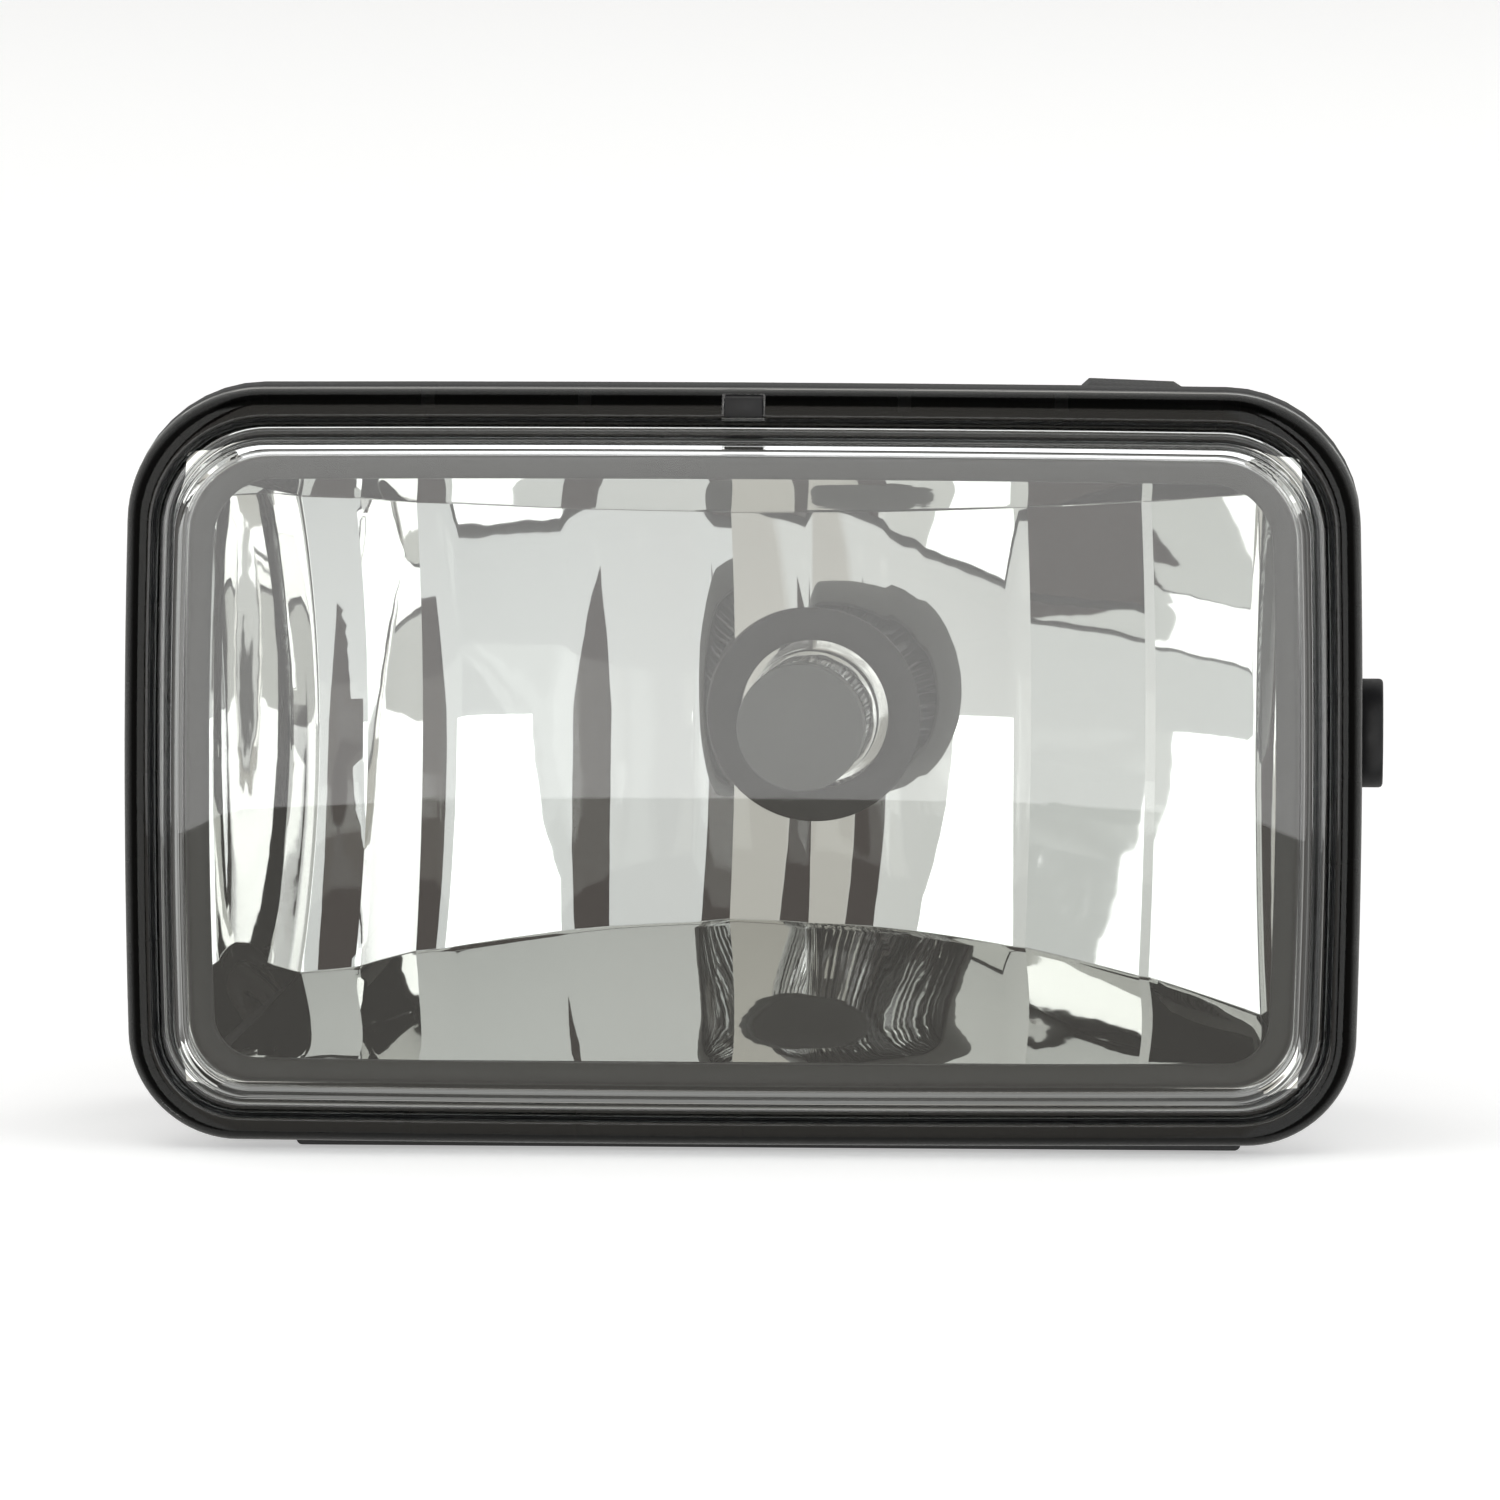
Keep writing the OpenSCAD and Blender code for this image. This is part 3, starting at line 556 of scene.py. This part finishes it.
def make_reflector():
    """The mirror: the faceted bowl, its four drafted walls and the flange round its window."""
    shares = [math.sin(math.pi / 2 * (2 * j / BOWL_ROWS - 1)) for j in range(BOWL_ROWS + 1)]
    grid = bowl_grid(shares)
    half_w, half_h = HALF_W - WINDOW_INSET, HALF_H - WINDOW_INSET
    patches = [grid]
    for border, z in ((grid[:, 0], -half_h), (grid[:, -1], half_h)):
        x = -half_w + 2 * half_w * (border[:, 0] - border[0, 0]) / (border[-1, 0] - border[0, 0])
        front = np.stack([x, np.full_like(x, WINDOW_Y), np.full_like(x, z)], axis=1)
        patches.append(to_window(border, front, 2))
    for border, x in ((grid[0], -half_w), (grid[-1], half_w)):
        front = np.array([(x, WINDOW_Y, half_h * s) for s in shares])
        patches.append(to_window(border, front, 0))
    turns = [(-1, -1), (1, -1), (1, 1), (-1, 1)]
    for a, b in zip(turns, turns[1:] + turns[:1]):
        patches.append(np.array([[((half_w + out) * x, WINDOW_Y, (half_h + out) * z) for x, z in (a, b)]
                                 for out in (0, FLANGE_W)]))
    points, faces = [], []
    for part in patches:
        faces += grid_faces(len(points), *part.shape[:2])
        points += [lamp_point(*p) for p in part.reshape(-1, 3)]
    piece = build("mirror_reflector", points, faces, mirror, smooth=False)
    round_edges(piece, MIRROR_FILLET, 3, EDGE_ANGLE)
    shade_smooth(piece, CREASE_ANGLE)
    return piece


place(make_reflector(), "lamp", "reflector_mirror", "reflector")


# ---------------------------------------------------------------- moulded and turned pieces
FLAT_ANGLE = 0.05                               # faces nearer to one plane than this are joined


def refined(node, name, finish, edge):
    """A copy of a CAD node with its flat faces made whole and its sharp edges rounded."""
    piece = bpy.data.objects.new(name, frame["nodes"][node].data.copy())
    bpy.context.scene.collection.objects.link(piece)
    piece.data.materials.clear()
    piece.data.materials.append(finish)
    work = bmesh.new()
    work.from_mesh(piece.data)
    bmesh.ops.remove_doubles(work, verts=work.verts, dist=2e-6)
    if edge:
        bmesh.ops.dissolve_limit(work, angle_limit=math.radians(FLAT_ANGLE), verts=work.verts,
                                 edges=work.edges)
    bmesh.ops.recalc_face_normals(work, faces=work.faces)
    work.to_mesh(piece.data)
    work.free()
    if edge:
        round_edges(piece, edge, 2, EDGE_ANGLE)
    shade_smooth(piece, EDGE_ANGLE)
    return piece


BODY = {node: body for body, nodes in frame["record"]["behaviour"]["bodies"].items() for node in nodes}
# Node, name of its piece, finish, edge rounding in mm (0 keeps its edges), material slot.
REFINED = [
    ("lens_seal", "seal_bead", sealant, 0, "sealant"),
    ("housing", "case", case_plastic, 0.35, "housing_plastic"),
    ("socket_trim_ring", "trim_ring", ring_plastic, 0.3, "ring_plastic"),
    ("bulb_socket", "socket_bore", case_plastic, 0.2, "housing_plastic"),
    ("vent_cap", "breather_cap", vent_rubber, 0.4, "vent_rubber"),
    ("vent_membrane", "breather_film", membrane, 0, "membrane"),
    ("reflector_screws", "pan_head_screws", zinc_steel, 0.2, "zinc_steel"),
    ("pivot_pin_left", "left_pivot_pin", zinc_steel, 0.3, "zinc_steel"),
    ("pivot_pin_right", "right_pivot_pin", zinc_steel, 0.3, "zinc_steel"),
    ("bulb_base", "base_with_connector", base_plastic, 0.35, "bulb_base_plastic"),
    ("bulb_collar", "steel_collar", collar_steel, 0.15, "collar_steel"),
    ("bulb_glass", "glass_tube", bulb_glass_finish, 0, "bulb_glass"),
    ("bulb_cap", "heat_shield_cap", cap_enamel, 0.4, "cap_enamel"),
    ("filament_leads", "lead_wires", lead_wire, 0, "lead_wire"),
    ("bulb_terminals", "blade_terminals", tinned_brass, 0.1, "tinned_brass"),
    ("bulb_o_ring", "o_ring", silicone, 0, "silicone"),
    ("mount_bracket", "yoke_bracket", bracket_plastic, 0, "bracket_plastic"),
    ("mount_sleeves", "bolt_sleeves", zinc_steel, 0.2, "zinc_steel"),
    ("pivot_bush_left", "left_bush", acetal, 0.2, "bush_plastic"),
    ("pivot_bush_right", "right_bush", acetal, 0.5, "bush_plastic"),
    ("screw_clip", "push_on_clip", spring_steel, 0.12, "spring_steel"),
    ("aim_screw", "aim_screw_body", zinc_steel, 0.25, "zinc_steel"),
    ("aim_nut", "ball_nut", natural_nylon, 0.2, "natural_nylon"),
]
for node_name, piece_name, finish, edge, slot_name in REFINED:
    place(refined(node_name, piece_name, finish, edge), BODY[node_name], slot_name, node_name)


# ---------------------------------------------------------------- repeated details, by Geometry Nodes
def node_tree(name, **inputs):
    """A Geometry Nodes tree with float or integer inputs, and the sockets that give them inside it."""
    tree = bpy.data.node_groups.new(name, "GeometryNodeTree")
    tree.interface.new_socket("Geometry", in_out="OUTPUT", socket_type="NodeSocketGeometry")
    for key, value in inputs.items():
        kind = "NodeSocketInt" if isinstance(value, int) else "NodeSocketFloat"
        tree.interface.new_socket(key, in_out="INPUT", socket_type=kind)
    return tree, tree.nodes.new("NodeGroupInput").outputs


def run_tree(name, tree, geometry, finish, inputs):
    """Ends the tree, sets its inputs, and turns its result into a plain mesh object."""
    solid = add(tree, "GeometryNodeRealizeInstances", {"Geometry": geometry}).outputs[0]
    painted = add(tree, "GeometryNodeSetMaterial", {"Geometry": solid, "Material": finish}).outputs[0]
    add(tree, "NodeGroupOutput", {"Geometry": painted})
    piece = bpy.data.objects.new(name, bpy.data.meshes.new(name))
    bpy.context.scene.collection.objects.link(piece)
    nodes = piece.modifiers.new("nodes", "NODES")
    nodes.node_group = tree
    for item in tree.interface.items_tree:
        if item.in_out == "INPUT":
            nodes[item.identifier] = inputs[item.name]
    apply_modifiers(piece)
    piece.data.materials.clear()
    piece.data.materials.append(finish)
    return piece


def ribs_round(name, finish, count, radius, width, height, length):
    """Bars that stand on a cylinder round the Z axis, side by side; sizes in mm."""
    inputs = {"Count": count, "Radius": radius * MM, "Width": width * MM, "Height": height * MM,
              "Length": length * MM}
    tree, given = node_tree(name, **inputs)
    ring = add(tree, "GeometryNodeMeshCircle", {"Vertices": given["Count"], "Radius": given["Radius"]})
    size = add(tree, "ShaderNodeCombineXYZ", {"X": given["Height"], "Y": given["Width"],
                                              "Z": given["Length"]})
    bar = add(tree, "GeometryNodeMeshCube", {"Size": size.outputs[0]})
    place_at = add(tree, "GeometryNodeInputPosition").outputs[0]
    turn = add(tree, "FunctionNodeAlignRotationToVector", {"Vector": place_at}, axis="X")
    bars = add(tree, "GeometryNodeInstanceOnPoints", {"Points": ring.outputs[0], "Instance": bar.outputs[0],
                                                      "Rotation": turn.outputs[0]})
    return run_tree(name, tree, bars.outputs[0], finish, inputs)


def thread(name, finish, radius, pitch, turns, depth):
    """A screw thread round the Z axis: a small triangle swept along a helix; sizes in mm."""
    inputs = {"Radius": radius * MM, "Rise": pitch * turns * MM, "Turns": float(turns), "Depth": depth * MM}
    tree, given = node_tree(name, **inputs)
    helix = add(tree, "GeometryNodeCurveSpiral", {"Resolution": 24, "Rotations": given["Turns"],
                                                  "Start Radius": given["Radius"],
                                                  "End Radius": given["Radius"], "Height": given["Rise"]})
    ridge = add(tree, "GeometryNodeCurvePrimitiveCircle", {"Resolution": 3, "Radius": given["Depth"]},
                mode="RADIUS")
    swept = add(tree, "GeometryNodeCurveToMesh", {"Curve": helix.outputs[0],
                                                  "Profile Curve": ridge.outputs[0], "Fill Caps": True})
    return run_tree(name, tree, swept.outputs[0], finish, inputs)


def settle(piece, origin, axis):
    """Moves a piece drawn round the Z axis to an origin and an axis, in its mesh."""
    turn = Vector((0, 0, 1)).rotation_difference(Vector(axis)).to_matrix().to_4x4()
    piece.data.transform(Matrix.Translation(origin) @ turn)
    tidy_mesh(piece)
    return piece


GRIP_ALONG = 79.9                               # middle of the base's grip flange, along the optical axis
GRIP_RADIUS, GRIP_RIBS = 17.0, 36
grip = ribs_round("grip_ribs", base_plastic, GRIP_RIBS, GRIP_RADIUS, width=1.1, height=1.0, length=2.4)
place(settle(grip, optic_point(0, 0, GRIP_ALONG), OPTIC_AXIS), "bulb", "bulb_base_plastic")

screw_low, screw_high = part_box("aim_screw")
screw_centre = (screw_low + screw_high) / 2
thread_start = Vector((screw_centre.x, screw_low.y + 0.6 * MM, screw_centre.z))
threads = thread("screw_thread", zinc_steel, radius=2.38, pitch=0.8, turns=24.0, depth=0.16)
place(settle(threads, thread_start, (0, 1, 0)), "screw", "zinc_steel")

vent_low, vent_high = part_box("vent_cap")
vent_size = (vent_high - vent_low) / MM
vent_ribs = ribs_round("vent_ribs", vent_rubber, 18, vent_size.x / 2 - 0.15, width=0.7, height=0.7,
                       length=vent_size.y * 0.7)
place(settle(vent_ribs, (vent_low + vent_high) / 2, (0, 1, 0)), "lamp", "vent_rubber")

# Locating lug of the case in the lens's notch.
LUG_HALF_W = NOTCH_HALF_W - 0.3
lug = block("locating_lug", lamp_point(-LUG_HALF_W, -6.4, HALF_H - 3.4),
            lamp_point(LUG_HALF_W, -4.0, HALF_H - 0.7), case_plastic)
round_edges(lug, 0.3, 2, EDGE_ANGLE)
shade_smooth(lug, EDGE_ANGLE)
place(lug, "lamp", "housing_plastic")

# The filament stays as it is, with its own finish.
slots = frame["nodes"]["filament"].data.materials
slots.clear()
slots.append(tungsten)


# ---------------------------------------------------------------- floor, lights and camera
FLOOR_GLOW = 0.42                               # lifts the paper to an even white


def make_floor():
    """A wide pale floor under the lamp."""
    material, tree = new_material("pale matt paper")
    skin = add(tree, "ShaderNodeBsdfPrincipled", {"Base Color": linear("F6F6F6"), "Roughness": 0.9,
                                                  "Emission Color": linear("FFFFFF"),
                                                  "Emission Strength": FLOOR_GLOW})
    finish_with(tree, skin.outputs["BSDF"])
    low, reach = cad_box[0][2] - 0.5 * MM, 20.0
    points = [Vector((x * reach, y * reach, low)) for x, y in ((-1, -1), (1, -1), (1, 1), (-1, 1))]
    floor = build("paper_floor", points, [(0, 1, 2, 3)], material, smooth=False)
    floor.visible_glossy = False
    floor.visible_transmission = False


def area_light(name, at, look_at, width, height, radiance, seen):
    """A flat softbox in metres; seen says whether glossy surfaces mirror it."""
    light = bpy.data.lights.new(name, "AREA")
    light.shape = "RECTANGLE"
    light.size, light.size_y = width, height
    light.energy = radiance * math.pi * width * height
    lamp = bpy.data.objects.new(name, light)
    lamp.location = at
    lamp.rotation_euler = (Vector(look_at) - Vector(at)).to_track_quat("-Z", "Y").to_euler()
    lamp.visible_camera = False
    lamp.visible_glossy = seen
    bpy.context.scene.collection.objects.link(lamp)


# Light round the lamp by azimuth, and how it changes with elevation.
AROUND = [(-180, "A2A2A0"), (-120, "B8B8B6"), (-96, "4A4846"), (-70, "4A4846"), (-67, "EAEAE6"),
          (-22, "EEEEEA"), (-20, "D2CEC6"), (2, "D2CEC6"), (8, "EEEEEC"), (62, "F2F4F2"), (66, "4A4846"),
          (96, "4A4846"), (120, "B8B8B6"), (180, "A2A2A0")]
UPWARD = [(-90, "C8C8C8"), (-60, "F0F0F0"), (-5, "FFFFFF"), (30, "FFFFFF"), (58, "F4F4F4"), (66, "4A4A48"),
          (90, "303030")]
GAPS = [(32.0, 5.2), (-24.5, 4.0)]              # azimuth and half width of the dark gaps between panels
GAP_FOOT, GAP_CLOSING = -34, 26                 # the elevation where a gap ends, and over which it widens
GAP_COLOUR = "3A3230"
ROOM_STRENGTH = 0.92


def ramp_of(tree, value, span, low, stops):
    """A colour ramp with its stops given as (value, hex colour)."""
    ramp = add(tree, "ShaderNodeValToRGB", {"Fac": value})
    elements = ramp.color_ramp.elements
    while len(elements) < len(stops):
        elements.new(0.5)
    for element, (at, code) in zip(elements, stops):
        element.position = (at - low) / span
        element.color = linear(code)
    return ramp.outputs["Color"]


def make_world():
    """The room that the lamp mirrors, and a plain white backdrop that only the camera sees."""
    world = bpy.data.worlds.new("studio")
    bpy.context.scene.world = world
    world.use_nodes = True
    tree = world.node_tree
    tree.nodes.clear()
    direction = add(tree, "ShaderNodeTexCoord").outputs["Generated"]
    part = add(tree, "ShaderNodeSeparateXYZ", {"Vector": direction})

    def maths(operation, *values, clamp=False):
        node = add(tree, "ShaderNodeMath", dict(enumerate(values)), operation=operation, use_clamp=clamp)
        return node.outputs[0]

    forward = maths("MULTIPLY", part.outputs["Y"], -1.0)
    azimuth = maths("DEGREES", maths("ARCTAN2", part.outputs["X"], forward))
    elevation = maths("DEGREES", maths("ARCSINE", part.outputs["Z"]))
    around = ramp_of(tree, maths("MULTIPLY_ADD", azimuth, 1 / 360, 0.5), 360, -180, AROUND)
    upward = ramp_of(tree, maths("MULTIPLY_ADD", elevation, 1 / 180, 0.5), 180, -90, UPWARD)
    # The dark gaps between the panels close towards the floor.
    opening = maths("MULTIPLY_ADD", elevation, 1 / GAP_CLOSING, -GAP_FOOT / GAP_CLOSING, clamp=True)
    light = add(tree, "ShaderNodeMix", {"Factor": 1.0, 6: around, 7: upward}, data_type="RGBA",
                blend_type="MULTIPLY").outputs[2]
    for middle, half in GAPS:
        away = maths("ABSOLUTE", maths("SUBTRACT", azimuth, middle))
        inside = maths("LESS_THAN", away, maths("MULTIPLY", opening, half))
        light = add(tree, "ShaderNodeMix", {0: inside, 6: light, 7: linear(GAP_COLOUR)},
                    data_type="RGBA").outputs[2]
    room = add(tree, "ShaderNodeBackground", {"Color": light, "Strength": ROOM_STRENGTH})
    backdrop = add(tree, "ShaderNodeBackground", {"Color": linear("FFFFFF"), "Strength": 1.0})
    path = add(tree, "ShaderNodeLightPath")
    mix = add(tree, "ShaderNodeMixShader", {0: path.outputs["Is Camera Ray"]})
    tree.links.new(room.outputs["Background"], mix.inputs[1])
    tree.links.new(backdrop.outputs["Background"], mix.inputs[2])
    add(tree, "ShaderNodeOutputWorld", {"Surface": mix.outputs["Shader"]})


CAMERA_TURN = (1.3, 7.04, 0.2)                  # azimuth, elevation and roll, in degrees
CAMERA_DISTANCE = 2.54
VIEW_WIDTH = 201.2 * MM                         # what the camera takes in at the lamp, side to side


def make_camera():
    """The camera, a little above the lamp's front and aimed near its middle."""
    azimuth, elevation, roll = (math.radians(angle) for angle in CAMERA_TURN)
    aim = Vector((0.9, RIM_Y, 2.13)) * MM
    outward = Vector((math.sin(azimuth) * math.cos(elevation), -math.cos(azimuth) * math.cos(elevation),
                      math.sin(elevation)))
    data = bpy.data.cameras.new("camera")
    data.sensor_width = 36.0
    data.lens = data.sensor_width * CAMERA_DISTANCE / VIEW_WIDTH
    data.clip_start, data.clip_end = 0.05, 50.0
    camera = bpy.data.objects.new("camera", data)
    camera.location = aim + outward * CAMERA_DISTANCE
    turn = (-outward).to_track_quat("-Z", "Y").to_matrix() @ Matrix.Rotation(roll, 3, "Z")
    camera.rotation_euler = turn.to_euler()
    bpy.context.scene.collection.objects.link(camera)
    bpy.context.scene.camera = camera


make_floor()
make_world()
make_camera()
MIDDLE = (0.0, 0.0, 0.0)
# Name, place, what it points at, width, height, radiance, whether glossy surfaces mirror it. The lower edge
# of the front softbox shows in the lens as the line where the veil ends.
LIGHTS = [
    ("front softbox", (-0.11, -2.2, -0.072), (-0.11, 0.0, -0.072), 1.02, 0.42, 1.3, True),
    ("left softbox", (-1.5, -0.9, 0.5), MIDDLE, 1.0, 1.6, 1.3, False),
    ("right softbox", (1.5, -0.9, 0.5), MIDDLE, 1.0, 1.6, 1.3, False),
    ("rear left softbox", (1.2, 1.5, 0.9), MIDDLE, 1.2, 1.2, 1.6, False),
    ("rear right softbox", (-1.2, 1.6, 0.7), MIDDLE, 1.0, 1.2, 1.0, False),
    ("top softbox", (0.0, -0.2, 1.6), MIDDLE, 1.8, 1.2, 1.5, False),
]
for softbox in LIGHTS:
    area_light(*softbox)
bpy.context.scene.view_settings.view_transform = "Standard"
